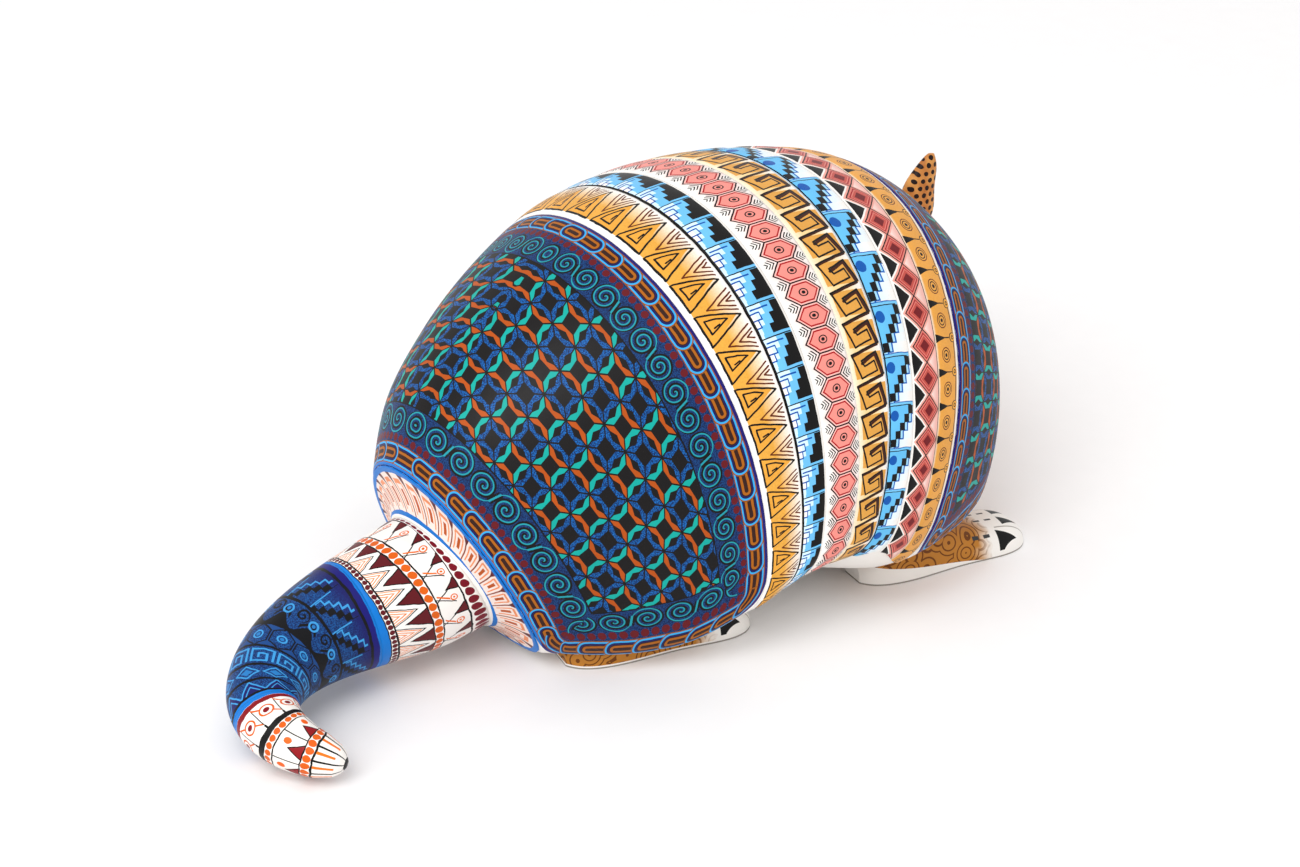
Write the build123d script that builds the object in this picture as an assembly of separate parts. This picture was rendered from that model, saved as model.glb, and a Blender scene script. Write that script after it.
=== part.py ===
"""Carved and painted armadillo figure: a hollow-chested body block with a plugged-in head, four
dowelled legs, two keyed ears and a keyed tail.

Frame: millimetres, +Z up, the animal looks along -Y, its right flank is at -X and its tail at +Y.
The soles rest on z = 0.
"""
from math import cos, radians, sin
import os

from build123d import *

# ---------------------------------------------------------------- driving dimensions
# Body stations from the front edge of the shell (9.6) to the rump (-4). Each station is one closed
# section: station number, its highest point (y, z), its lowest point (y, z), its half width, how far
# the flanks bow back (+) or forward (-) of the station's plane, and how square its belly is.
STATIONS = [
    (9.6, -160, 99, -130, 11, 65.5, 0, 0.74),
    (9.0, -154.5, 109.5, -119, 8, 77, 1, 0.78),
    (8.0, -141, 124.5, -94, 7, 86.5, 0, 0.80),
    (7.0, -126, 134.5, -73, 7.5, 91.5, -1, 0.78),
    (5.5, -104, 142, -54, 9.5, 94.5, -4, 0.66),
    (4.0, -79, 147, -38, 13, 94, -6, 0.56),
    (2.0, -42, 149.5, -19, 12.5, 92, -8, 0.58),
    (0.0, -1, 144, -1, 7.5, 84, -12, 0.78),
    (-2.0, 46.5, 118, 19, 4, 68, -8, 0.97),
    (-3.0, 67, 99, 32, 3.5, 55.5, -4, 0.97),
    (-4.0, 79, 75, 47, 4, 39, 0, 0.86),
]
SECTIONS = 28          # sections lofted between the first station and the last
WAIST = 0.25           # share of a section's height at which it is widest
ROUND = 0.5523         # Bezier arm that makes a quarter of an ellipse

# The middle of the whole figure's plan, which becomes the frame's origin.
CENTRE = (2.4, -23.0)

COLLAR = 5.0           # length of the cone between the rump section and the tail
COLLAR_SUNK = 2.0      # how far the cone's wide end lies inside the body
COLLAR_FLARE = 6.0     # its wide end's radius over the tail's
COLLAR_LIP = 0.6       # its narrow end's radius over the tail's
TAIL_R = 24.5          # tail radius at its root
ROOT = (0, 60.1, 33)   # centre of the tail's root on the rump plane
TENON = 20.0           # side of the tail's square tenon
TENON_LONG = 30.0
TENON_INTO_TAIL = 7.0  # how far the tenon's bar runs into the tail's own wood
TENON_CORNER = 3.0     # radius of its long edges
KEY_GAP = 0.1          # clearance on each side of the removable tenons
SOCKET_SPARE = 2.0     # space left at the bottom of a socket

CHEST_BOWL = (46, 25, 37)        # half sizes of the hollow behind the shell's front edge
CHEST = (5, -147, 57)            # its centre
CHEST_TILT = -16.0               # its turn about X in degrees
NECK_R = 15.0                    # neck plug radius
NECK_PLUG = (7, -102, 56)        # inner end of the neck plug
NECK_FACE = (8, -140, 58)        # where the plug widens into the neck
GLUE_GAP = 0.05                  # radial gap of glued round joints

DOWEL_R = 4.0
DOWEL_LONG = 30.0
DOWEL_SPARE = 1.0      # space left above a dowel
DOWEL_LOW = 9.0        # height of a leg dowel's lower end above the sole
SEAT_Z = 24.0          # height of the flat glue face between leg and body
FOOT_LONG = 71.0
FOOT_FULL = 0.7        # Bezier arm of a foot's section: squarer than an ellipse
THIGH = (18.0, 11.0)   # half length and half width of the glued end of a leg
THIGH_AT = 0.30        # where along the foot it stands
# Heel position, and the direction of the toes in degrees from -Y towards +X, of the right legs.
RIGHT_LEGS = {"front": ((-57, -80), -11.5), "rear": ((-33, 38), -15.0)}

# Head: centre, heading in degrees from -Y towards +X, drop in degrees, half width and half height.
HEAD = [
    ((8, -140, 58), 8, 0, 18.0, 18.5),
    ((13, -161, 61), 27, 0, 19.0, 20.5),
    ((26, -178, 66), 55, 0, 21.5, 22.0),
    ((44, -187, 66), 74, 22, 20.5, 19.5),
    ((66, -193, 58), 75, 22, 12.0, 12.5),
    ((84, -198, 50), 75, 22, 7.8, 7.6),
    ((97, -201.5, 44), 75, 22, 5.4, 4.8),
]
EAR_SPREAD = 12.0      # distance of each ear from the head's middle plane
EAR_SPOT = (39.5, -185.5)
EAR_HEADING = 74.0
EAR_FOOT_Z = 75.0      # where an ear's leaf meets its tenon
EAR_LEAN = 5.0         # outward lean in degrees
EAR_PEG = (6.4, 3.6, 9.0)
PEG_CORNER = 0.8       # radius of the peg's long edges
EAR_SEAT = (7.9, 4.8)  # half sizes of the pocket that an ear's leaf stands in
EAR_SEAT_HIGH = 14.0   # its height, which reaches out of the head
# Height above the ear's foot, half width across the head, half thickness, and shift outwards.
EAR_LEAF = [(0, 6.0, 3.8, 0), (7, 7.4, 4.2, 0.4), (12.5, 7.6, 4.2, 0.5), (18.5, 6.9, 3.8, 0.6),
            (25, 5.3, 2.9, 2.2), (30, 3.1, 1.8, 3.6), (32.5, 1.4, 0.8, 4.3)]

# Tail: its centre line from the root to the tip, and its radius at shares of its length.
TAIL_LINE = [
    (0.5, 75.5, 29.4), (1.5, 91, 27.6), (2.5, 107.5, 25.4), (1, 124.5, 22.8), (-4.6, 138.8, 19.8),
    (-14.6, 148.3, 16.5), (-28, 150.6, 13.4), (-40, 146.5, 10.6), (-49.5, 139.5, 7.9),
]
TAIL_GIRTH = [(0, 24.5), (0.12, 23.2), (0.3, 19.8), (0.5, 15.8), (0.7, 11.9), (0.85, 9.4), (0.93, 7.6),
              (0.975, 5.4), (1, 2)]
TAIL_SECTIONS = 14


# ---------------------------------------------------------------- helpers
def quarter(flank, end, waist, arm):
    """A quarter of a section, from the flank to the highest or lowest point, as one Bezier curve."""
    rise = end - waist
    return Bezier(flank, flank + rise * arm, end + Vector(flank.X, 0, 0) * arm, end)


def station_at(number):
    """The station values at any station number, on a smooth curve through the listed ones."""
    rows = STATIONS[::-1]
    spans = list(zip(rows, rows[1:]))
    slopes = [[(v1 - v0) / (b[0] - a[0]) for v0, v1 in zip(a, b)] for a, b in spans]
    turns = []
    for (a, b), (_b, c), before, after in zip(spans, spans[1:], slopes, slopes[1:]):
        near, far = b[0] - a[0], c[0] - b[0]
        turns.append([(m0 * far + m1 * near) / (near + far) for m0, m1 in zip(before, after)])
    first = [1.5 * m - 0.5 * t for m, t in zip(slopes[0], turns[0])]
    last = [1.5 * m - 0.5 * t for m, t in zip(slopes[-1], turns[-1])]
    turns = [first] + turns + [last]
    index = max(i for i, (a, _b) in enumerate(spans) if number >= a[0] - 1e-9)
    a, b = spans[index]
    long = b[0] - a[0]
    t = (number - a[0]) / long
    values = []
    for v0, v1, m0, m1 in zip(a, b, turns[index], turns[index + 1]):
        start, end = v0 * (1 + 2 * t) * (1 - t) ** 2, v1 * t * t * (3 - 2 * t)
        values.append(start + end + long * t * (1 - t) * (m0 * (1 - t) - m1 * t))
    return values


def section_wire(number):
    _number, top_y, top_z, low_y, low_z, half_width, bow, belly = station_at(number)
    top, low = Vector(0, top_y, top_z), Vector(0, low_y, low_z)
    waist = low + (top - low) * WAIST
    right, left = [waist + Vector(x, bow, 0) for x in (-half_width, half_width)]
    back = [quarter(flank, top, waist, ROUND) for flank in (right, left)]
    under = [quarter(flank, low, waist, belly) for flank in (left, right)]
    return Wire(back + under)


def heading(degrees, drop=0.0):
    """A unit vector that points along -Y at 0 degrees, +X at 90, and falls by drop degrees."""
    a, d = radians(degrees), radians(drop)
    return Vector(sin(a) * cos(d), -cos(a) * cos(d), -sin(d))


def ring(centre, direction, half_width, half_height):
    """An ellipse across a direction, with its wide axis level."""
    plane = Plane(origin=centre, x_dir=Vector(0, 0, 1).cross(direction), z_dir=direction)
    return plane * Ellipse(half_width, half_height)


def mirrored(part):
    return part.mirror(Plane.YZ)


# ---------------------------------------------------------------- the tail's axis
rump_top, rump_low = Vector(0, *STATIONS[-1][1:3]), Vector(0, *STATIONS[-1][3:5])
rump_up = (rump_top - rump_low).normalized()
tail_out = Vector(0, rump_up.Z, -rump_up.Y)
rump_plane = Plane(origin=Vector(*ROOT), x_dir=(1, 0, 0), z_dir=tail_out)
collar_plane = rump_plane.offset(COLLAR)
tenon_plane = Plane(origin=collar_plane.origin, x_dir=(1, 0, 0), z_dir=(0, 1, 0))


def square_bar(side, start):
    """A level bar through the tail's root face, from a start inside the body into the tail."""
    face = tenon_plane.offset(start) * RectangleRounded(side, side, TENON_CORNER)
    return extrude(face, TENON_INTO_TAIL - start)


# ---------------------------------------------------------------- body block
def make_shell():
    """The body's outer form, before anything is cut into it."""
    front, rear = STATIONS[0][0], STATIONS[-1][0]
    numbers = [front + (rear - front) * i / (SECTIONS - 1) for i in range(SECTIONS)]
    shell = Solid.make_loft([section_wire(number) for number in numbers])
    wide_end = rump_plane.offset(-COLLAR_SUNK) * Circle(TAIL_R + COLLAR_FLARE)
    collar = loft([wide_end, collar_plane * Circle(TAIL_R + COLLAR_LIP)])
    return Part() + shell + collar


def make_body(shell):
    hollow = Pos(*CHEST) * Rot(CHEST_TILT, 0, 0) * scale(Sphere(1), by=CHEST_BOWL)
    neck_hole = neck_plug(NECK_R + GLUE_GAP)
    tail_socket = square_bar(TENON + 2 * KEY_GAP, -TENON_LONG - SOCKET_SPARE)
    body = shell - hollow - neck_hole - tail_socket
    for _leg, _dowel, seat, hole in legs.values():
        body = body - seat - hole
    return body


def neck_plug(radius):
    start, end = Vector(*NECK_PLUG), Vector(*NECK_FACE)
    plane = Plane(origin=start, z_dir=end - start)
    return extrude(plane * Circle(radius), (end - start).length)


# ---------------------------------------------------------------- legs
# A foot's half width and height at stations along it, as shares of its length.
FOOT_SHAPE = [
    (0.00, 5.0, 6.0), (0.10, 10.5, 17.0), (0.26, 12.5, 25.0), (0.44, 12.3, 21.0),
    (0.62, 12.2, 13.5), (0.80, 13.0, 10.8), (0.93, 11.5, 8.6), (1.00, 7.0, 5.0),
]


def sole_section(plane, half_width, height):
    """A section of a foot: a flat sole under a rounded back."""
    full = half_width * FOOT_FULL
    spots = [(half_width, 0), (half_width, height * FOOT_FULL), (full, height), (0, height)]
    right = [plane.from_local_coords((x, y, 0)) for x, y in spots]
    left = [plane.from_local_coords((-x, y, 0)) for x, y in reversed(spots)]
    return Wire([Bezier(*right), Bezier(*left), Line(left[-1], right[0])])


def make_leg(heel, degrees):
    """The leg, its dowel, and the two hollows that the body gets for them."""
    forward = heading(degrees)
    sections = []
    for share, half_width, height in FOOT_SHAPE:
        spot = Vector(*heel, 0) + forward * (share * FOOT_LONG)
        plane = Plane(origin=spot, x_dir=Vector(0, 0, 1).cross(forward), z_dir=forward)
        sections.append(sole_section(plane, half_width, height))
    foot = Part() + Solid.make_loft(sections) - shell
    middle = Vector(*heel, 0) + forward * (THIGH_AT * FOOT_LONG)
    upright = Plane(origin=middle, x_dir=forward, z_dir=(0, 0, 1))
    thigh = extrude(upright * Ellipse(*THIGH), SEAT_Z)
    seat = extrude(upright * Ellipse(THIGH[0] + GLUE_GAP, THIGH[1] + GLUE_GAP), SEAT_Z)
    dowel = extrude(upright.offset(DOWEL_LOW) * Circle(DOWEL_R), DOWEL_LONG)
    hole = extrude(upright.offset(DOWEL_LOW) * Circle(DOWEL_R + GLUE_GAP), DOWEL_LONG + DOWEL_SPARE)
    return foot + thigh - hole, dowel, seat, hole


shell = make_shell()
legs = {}
for name, (heel, degrees) in RIGHT_LEGS.items():
    right_leg = make_leg(heel, degrees)
    legs[f"{name}_right"] = right_leg
    legs[f"{name}_left"] = [mirrored(part) for part in right_leg]

body_block = make_body(shell)


# ---------------------------------------------------------------- head and ears
def make_head():
    sections = []
    for centre, degrees, drop, half_width, half_height in HEAD:
        sections.append(ring(centre, heading(degrees, drop), half_width, half_height))
    return loft(sections) + neck_plug(NECK_R)


def ear_plane(side):
    """A plane at an ear's foot. Its X points outwards across the head, and its Z along the ear."""
    forward = heading(EAR_HEADING)
    outward = Vector(0, 0, 1).cross(forward) * side
    spot = Vector(*EAR_SPOT, EAR_FOOT_Z) + outward * EAR_SPREAD
    lean = radians(EAR_LEAN)
    up = Vector(0, 0, 1) * cos(lean) + outward * sin(lean)
    across = outward * cos(lean) - Vector(0, 0, 1) * sin(lean)
    return Plane(origin=spot, x_dir=across, z_dir=up)


def make_ear(side):
    plane = ear_plane(side)
    leaf = loft([plane.offset(h) * Pos(shift, 0) * Ellipse(w, t) for h, w, t, shift in EAR_LEAF])
    wide, thick, long = EAR_PEG
    peg = extrude(plane.offset(-long) * RectangleRounded(wide, thick, PEG_CORNER), long + 1)
    return leaf + peg


def ear_socket(side):
    wide, thick, long = EAR_PEG
    wide, thick = wide + 2 * KEY_GAP, thick + 2 * KEY_GAP
    plane = ear_plane(side).offset(-long - SOCKET_SPARE)
    return extrude(plane * RectangleRounded(wide, thick, PEG_CORNER), long + SOCKET_SPARE)


def ear_pocket(side):
    """A pocket with a flat floor in the head, wide enough for the leaf to be lifted out."""
    return extrude(ear_plane(side) * Ellipse(*EAR_SEAT), EAR_SEAT_HIGH)


head = make_head()
for side in (-1, 1):
    head = head - ear_socket(side) - ear_pocket(side)

# ---------------------------------------------------------------- tail
def tail_radius(share):
    for (s0, r0), (s1, r1) in zip(TAIL_GIRTH, TAIL_GIRTH[1:]):
        if share <= s1:
            return r0 + (r1 - r0) * (share - s0) / (s1 - s0)
    return TAIL_GIRTH[-1][1]


def make_tail():
    line = Spline([collar_plane.origin] + [Vector(*p) for p in TAIL_LINE])
    sections = [collar_plane * Circle(TAIL_R)]
    shares = [i / TAIL_SECTIONS for i in range(1, TAIL_SECTIONS)]
    for share in shares + [share for share, _radius in TAIL_GIRTH[-2:]]:
        along = line % share
        plane = Plane(origin=line @ share, x_dir=Vector(0, 0, 1).cross(along), z_dir=along)
        sections.append(plane * Circle(tail_radius(share)))
    return loft(sections) + square_bar(TENON, -TENON_LONG)


tail = make_tail()

# ---------------------------------------------------------------- files
nodes = {"body_block": body_block, "head": head, "tail": tail,
         "ear_right": make_ear(-1), "ear_left": make_ear(1)}
for name, (leg, dowel, _seat, _hole) in legs.items():
    nodes[f"leg_{name}"] = leg
    nodes[f"leg_dowel_{name}"] = dowel

os.makedirs("parts", exist_ok=True)
for name, part in nodes.items():
    placed = Pos(-CENTRE[0], -CENTRE[1], 0) * part
    export_step(placed, f"parts/{name}.step")
    box = placed.bounding_box()
    print(name, "volume", round(part.volume), "from", box.min, "to", box.max)
for side, word in ((-1, "right"), (1, "left")):
    print("ear", word, "slides along", ear_plane(side).z_dir)
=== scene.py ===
"""Looks of a painted wooden armadillo: a white body under two painted shields and seven bands, with a ringed tail."""
import math

import bpy
import numpy as np
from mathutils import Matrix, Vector


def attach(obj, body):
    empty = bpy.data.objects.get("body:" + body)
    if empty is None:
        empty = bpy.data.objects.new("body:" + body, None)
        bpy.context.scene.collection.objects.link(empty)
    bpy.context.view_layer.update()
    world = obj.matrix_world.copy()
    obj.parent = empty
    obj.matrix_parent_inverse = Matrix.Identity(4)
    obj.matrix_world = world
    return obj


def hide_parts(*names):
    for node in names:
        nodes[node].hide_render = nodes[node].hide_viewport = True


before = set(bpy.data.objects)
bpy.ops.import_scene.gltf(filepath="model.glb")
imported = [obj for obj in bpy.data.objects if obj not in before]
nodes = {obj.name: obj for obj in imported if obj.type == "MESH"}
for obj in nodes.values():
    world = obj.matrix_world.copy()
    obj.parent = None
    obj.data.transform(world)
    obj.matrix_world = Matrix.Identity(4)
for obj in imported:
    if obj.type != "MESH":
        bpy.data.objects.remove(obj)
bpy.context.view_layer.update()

scene = bpy.context.scene
MM = 0.001
CENTRE = (2.4, -23.0, 0.0)          # the frame's origin, in the carver's own coordinates, mm
PLATE_DEPTH = 1.2                   # how far a painted plate reaches under the skin, mm

# ------------------------------------------------------------------ body form, as in the CAD, mm
# s, top y, top z, low y, low z, half width, bow, belly fullness
STATIONS = np.array([
    (-4.0, 79, 75, 47, 4, 39, 0, 0.86),
    (-3.0, 67, 99, 32, 3.5, 55.5, -4, 0.97),
    (-2.0, 46.5, 118, 19, 4, 68, -8, 0.97),
    (0.0, -1, 144, -1, 7.5, 84, -12, 0.78),
    (2.0, -42, 149.5, -19, 12.5, 92, -8, 0.58),
    (4.0, -79, 147, -38, 13, 94, -6, 0.56),
    (5.5, -104, 142, -54, 9.5, 94.5, -4, 0.66),
    (7.0, -126, 134.5, -73, 7.5, 91.5, -1, 0.78),
    (8.0, -141, 124.5, -94, 7, 86.5, 0, 0.80),
    (9.0, -154.5, 109.5, -119, 8, 77, 1, 0.78),
    (9.6, -160, 99, -130, 11, 65.5, 0, 0.74),
])
WAIST, ROUND = 0.25, 0.5523
BAND_EDGES = (0.0, 1.05, 1.85, 2.97, 4.03, 4.92, 6.0, 7.0)
# Lower edge of the painted shell: station and section coordinate (0 flank, -1 bottom). It runs level under the
# rump, rises over the belly, dips round the front leg and climbs to the shoulder.
RIM = ((-4, -0.47), (-2.6, -0.47), (-1.6, -0.43), (-0.4, -0.31), (1, -0.275), (3, -0.26), (4.2, -0.235),
       (4.6, -0.19), (5.2, -0.195), (6.1, -0.28), (7, -0.345), (7.8, -0.285), (8.4, -0.23), (8.8, -0.14), (9.6, 0.05))


def stations(s):
    x, v = STATIONS[:, 0], STATIONS[:, 1:]
    h = np.diff(x)[:, None]
    d = np.diff(v, axis=0) / h
    m = np.empty_like(v)
    m[1:-1] = (d[:-1] * h[1:] + d[1:] * h[:-1]) / (h[:-1] + h[1:])
    m[0], m[-1] = 1.5 * d[0] - 0.5 * m[1], 1.5 * d[-1] - 0.5 * m[-2]
    s = np.asarray(s, float)
    i = np.clip(np.searchsorted(x, s, "right") - 1, 0, len(x) - 2)
    w = (x[i + 1] - x[i])[..., None]
    t = (s - x[i])[..., None] / w
    return (v[i] * (1 + 2 * t) * (1 - t) ** 2 + v[i + 1] * t * t * (3 - 2 * t)
            + w * t * (1 - t) * (m[i] * (1 - t) - m[i + 1] * t))


def body_point(s, c):
    """A point of the body's skin in mm. c is -1 at the bottom, 0 right flank, 1 back, 2 left flank, 3 bottom."""
    s, c = np.broadcast_arrays(np.asarray(s, float), np.asarray(c, float))
    top_y, top_z, low_y, low_z, half, bow, belly = np.moveaxis(stations(s), -1, 0)
    left = c > 1
    c = np.where(left, 2 - c, c)
    u = np.abs(c)
    wide_y, wide_z = low_y + (top_y - low_y) * WAIST, low_z + (top_z - low_z) * WAIST
    end_y, end_z = np.where(c >= 0, top_y, low_y), np.where(c >= 0, top_z, low_z)
    k = np.where(c >= 0, ROUND, belly)
    b = (1 - u) ** 3, 3 * u * (1 - u) ** 2, 3 * u * u * (1 - u), u ** 3
    x = -half * (b[0] + b[1] + b[2] * k)
    flank_y = wide_y + bow
    y = b[0] * flank_y + b[1] * (flank_y + (end_y - wide_y) * k) + (b[2] + b[3]) * end_y
    z = b[0] * wide_z + b[1] * (wide_z + (end_z - wide_z) * k) + (b[2] + b[3]) * end_z
    return np.stack([np.where(left, -x, x), y, z], -1)


def body_normal(s, c):
    e = 0.01
    ds = body_point(s + e, c) - body_point(s - e, c)
    dc = body_point(s, c + e) - body_point(s, c - e)
    n = np.cross(dc, ds)
    n /= np.linalg.norm(n, axis=-1, keepdims=True) + 1e-12
    middle = body_point(s, np.ones_like(c)) * 0.5 + body_point(s, -np.ones_like(c)) * 0.5
    flip = np.sign(((body_point(s, c) - middle) * n).sum(-1, keepdims=True))
    return n * flip


def rim_at(s):
    return np.interp(s, [r[0] for r in RIM], [r[1] for r in RIM])


def run(points, axis):
    """Arc length along an axis of a grid of points, starting at 0."""
    steps = np.linalg.norm(np.diff(points, axis=axis), axis=-1)
    pad = [(0, 0), (0, 0)]
    pad[axis] = (1, 0)
    return np.pad(np.cumsum(steps, axis=axis), pad)


# ------------------------------------------------------------------ meshes
def add_mesh(name, points, faces, smooth_faces, attributes, material, body):
    """points in mm; attributes as {name: a value for each face corner}; the first smooth_faces faces are smooth."""
    mesh = bpy.data.meshes.new(name)
    mesh.from_pydata(((points - np.array(CENTRE)) * MM).tolist(), [], faces)
    for key, values in attributes.items():
        layer = mesh.attributes.new(key, "FLOAT", "CORNER")
        layer.data.foreach_set("value", np.asarray(values, np.float32).ravel())
    mesh.polygons.foreach_set("use_smooth", np.arange(len(faces)) < smooth_faces)
    mesh.materials.append(material)
    mesh.update()
    piece = bpy.data.objects.new(name, mesh)
    scene.collection.objects.link(piece)
    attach(piece, body)
    return piece


def slab(name, outer, inner, attributes, material, body):
    """A closed curved plate between two grids of points. Attributes are given per grid point."""
    rows, cols = outer.shape[:2]
    idx = np.arange(rows * cols).reshape(rows, cols)
    top = np.stack([idx[:-1, :-1], idx[:-1, 1:], idx[1:, 1:], idx[1:, :-1]], -1).reshape(-1, 4)
    flat = outer.reshape(-1, 3)
    a, b, d = flat[top[0, 0]], flat[top[0, 1]], flat[top[0, 3]]
    lift = outer[0, 0] - inner[0, 0]
    if np.dot(np.cross(b - a, d - a), lift) < 0:
        top = top[:, ::-1]
    edge = np.concatenate([idx[0, :-1], idx[:-1, -1], idx[-1, :0:-1], idx[:0:-1, 0]])
    nxt = np.roll(edge, -1)
    side = np.stack([edge, nxt, nxt + rows * cols, edge + rows * cols], -1)
    first = {tuple(x) for x in np.stack([top, np.roll(top, -1, 1)], -1).reshape(-1, 2).tolist()}
    if (int(edge[0]), int(nxt[0])) in first:
        side = side[:, ::-1]
    faces = np.concatenate([top, top[:, ::-1] + rows * cols, side])
    points = np.concatenate([flat, inner.reshape(-1, 3)])
    corner = {k: np.concatenate([v.ravel(), v.ravel()])[faces] for k, v in attributes.items()}
    return add_mesh(name, points, faces.tolist(), len(top), corner, material, body)


def tube(name, rings, lengths, material, body):
    """A closed tube through rings of points (rows, cols, 3), wrapped in the second index and capped by fans."""
    rows, cols = rings.shape[:2]
    idx = np.arange(rows * cols).reshape(rows, cols)
    wrapped = np.concatenate([idx, idx[:, :1]], 1)
    quads = np.stack([wrapped[:-1, :-1], wrapped[:-1, 1:], wrapped[1:, 1:], wrapped[1:, :-1]], -1)
    corner_u = np.arange(cols) / cols
    u = np.stack([corner_u, corner_u + 1 / cols, corner_u + 1 / cols, corner_u], -1)
    u = np.broadcast_to(u, (rows - 1, cols, 4))
    v = np.stack([lengths[:-1], lengths[:-1], lengths[1:], lengths[1:]], -1)[:, None, :]
    v = np.broadcast_to(v, (rows - 1, cols, 4))
    ends = rings[[0, -1]].mean(1)
    points = np.concatenate([rings.reshape(-1, 3), ends])
    n = rows * cols
    cap0 = np.stack([wrapped[0, 1:], wrapped[0, :-1], np.full(cols, n), np.full(cols, n)], -1)
    cap1 = np.stack([wrapped[-1, :-1], wrapped[-1, 1:], np.full(cols, n + 1), np.full(cols, n + 1)], -1)
    quads = quads.reshape(-1, 4)
    mid = points[quads[0]].mean(0)
    a, b, d = points[quads[0, 0]], points[quads[0, 1]], points[quads[0, 3]]
    outward = np.dot(np.cross(b - a, d - a), mid - rings[0].mean(0)) > 0
    faces = [list(map(int, f)) for f in quads] + [list(map(int, f[:3])) for f in np.concatenate([cap0, cap1])]
    if not outward:
        faces = [f[::-1] for f in faces]
    us = u.reshape(-1, 4).tolist() + [[0.5 / cols] * 3] * (2 * cols)
    first, last = float(lengths[0]), float(lengths[-1])
    vs = v.reshape(-1, 4).tolist() + [[first] * 3] * cols + [[last] * 3] * cols
    if not outward:
        us, vs = [x[::-1] for x in us], [x[::-1] for x in vs]
    corner = {"u": sum(us, []), "v": sum(vs, [])}
    return add_mesh(name, points, faces, len(quads), corner, material, body)


# ------------------------------------------------------------------ paint: shader maths written as expressions
TREE = None


class Num:
    """A number that the material works out at each point."""

    def __init__(self, socket):
        self.socket = socket

    def __add__(self, other):
        return calc("ADD", self, other)

    def __sub__(self, other):
        return calc("SUBTRACT", self, other)

    def __rsub__(self, other):
        return calc("SUBTRACT", other, self)

    def __mul__(self, other):
        return calc("MULTIPLY", self, other)

    def __truediv__(self, other):
        return calc("DIVIDE", self, other)

    def __neg__(self):
        return calc("MULTIPLY", self, -1)

    __radd__ = __add__
    __rmul__ = __mul__


def calc(operation, *values, clamp=False):
    node = TREE.nodes.new("ShaderNodeMath")
    node.operation, node.use_clamp = operation, clamp
    for socket, value in zip(node.inputs, values):
        if isinstance(value, Num):
            TREE.links.new(value.socket, socket)
        else:
            socket.default_value = float(value)
    return Num(node.outputs[0])


def fract(a): return calc("FRACT", a)
def floor(a): return calc("FLOOR", a)
def size(a): return calc("ABSOLUTE", a)
def low(a, b): return calc("MINIMUM", a, b)
def high(a, b): return calc("MAXIMUM", a, b)
def over(a, b): return calc("GREATER_THAN", a, b)
def under(a, b): return calc("LESS_THAN", a, b)
def near(a, b, w): return calc("COMPARE", a, b, w)
def mad(a, b, c): return calc("MULTIPLY_ADD", a, b, c)


def either(*masks):
    out = masks[0]
    for m in masks[1:]:
        out = high(out, m)
    return out


def both(*masks):
    out = masks[0]
    for m in masks[1:]:
        out = out * m
    return out


def length(a, b): return calc("SQRT", mad(a, a, b * b))


def ramp(a, start, end):
    """0 at start, 1 at end."""
    return calc("MULTIPLY_ADD", a, 1 / (end - start), -start / (end - start), clamp=True)


def box(x, y, x0, x1, y0, y1):
    return near(x, (x0 + x1) / 2, (x1 - x0) / 2) * near(y, (y0 + y1) / 2, (y1 - y0) / 2)


def stroke(x, y, x0, y0, x1, y1, half):
    """Mask of a straight brush stroke."""
    dx, dy = x1 - x0, y1 - y0
    ll = dx * dx + dy * dy
    h = calc("MULTIPLY_ADD", x, dx / ll, mad(y, dy / ll, -(x0 * dx + y0 * dy) / ll), clamp=True)
    return under(length(mad(h, -dx, x - x0), mad(h, -dy, y - y0)), half)


def attr(name):
    node = TREE.nodes.new("ShaderNodeAttribute")
    node.attribute_name = name
    return Num(node.outputs["Fac"])


def place():
    """The point's own place in metres, the same in every pose."""
    node = TREE.nodes.new("ShaderNodeTexCoord")
    return node.outputs["Object"]


def noise(scale, detail=2.0, stretch=None):
    """Fractal noise, about 0.5 in the middle. scale is in waves a metre."""
    node = TREE.nodes.new("ShaderNodeTexNoise")
    node.inputs["Scale"].default_value = scale
    node.inputs["Detail"].default_value = detail
    source = place()
    if stretch:
        squeeze = TREE.nodes.new("ShaderNodeVectorMath")
        squeeze.operation = "MULTIPLY"
        TREE.links.new(source, squeeze.inputs[0])
        squeeze.inputs[1].default_value = stretch
        source = squeeze.outputs[0]
    TREE.links.new(source, node.inputs["Vector"])
    return node


def tone(hexa):
    """sRGB hex to a linear colour."""
    c = [int(hexa[i:i + 2], 16) / 255 for i in (0, 2, 4)]
    lin = [x / 12.92 if x < 0.04045 else ((x + 0.055) / 1.055) ** 2.4 for x in c]
    return tuple(lin) + (1.0,)


DEEPEN = 1.38          # exponent that keeps the pigments deep under the bright studio light


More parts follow.
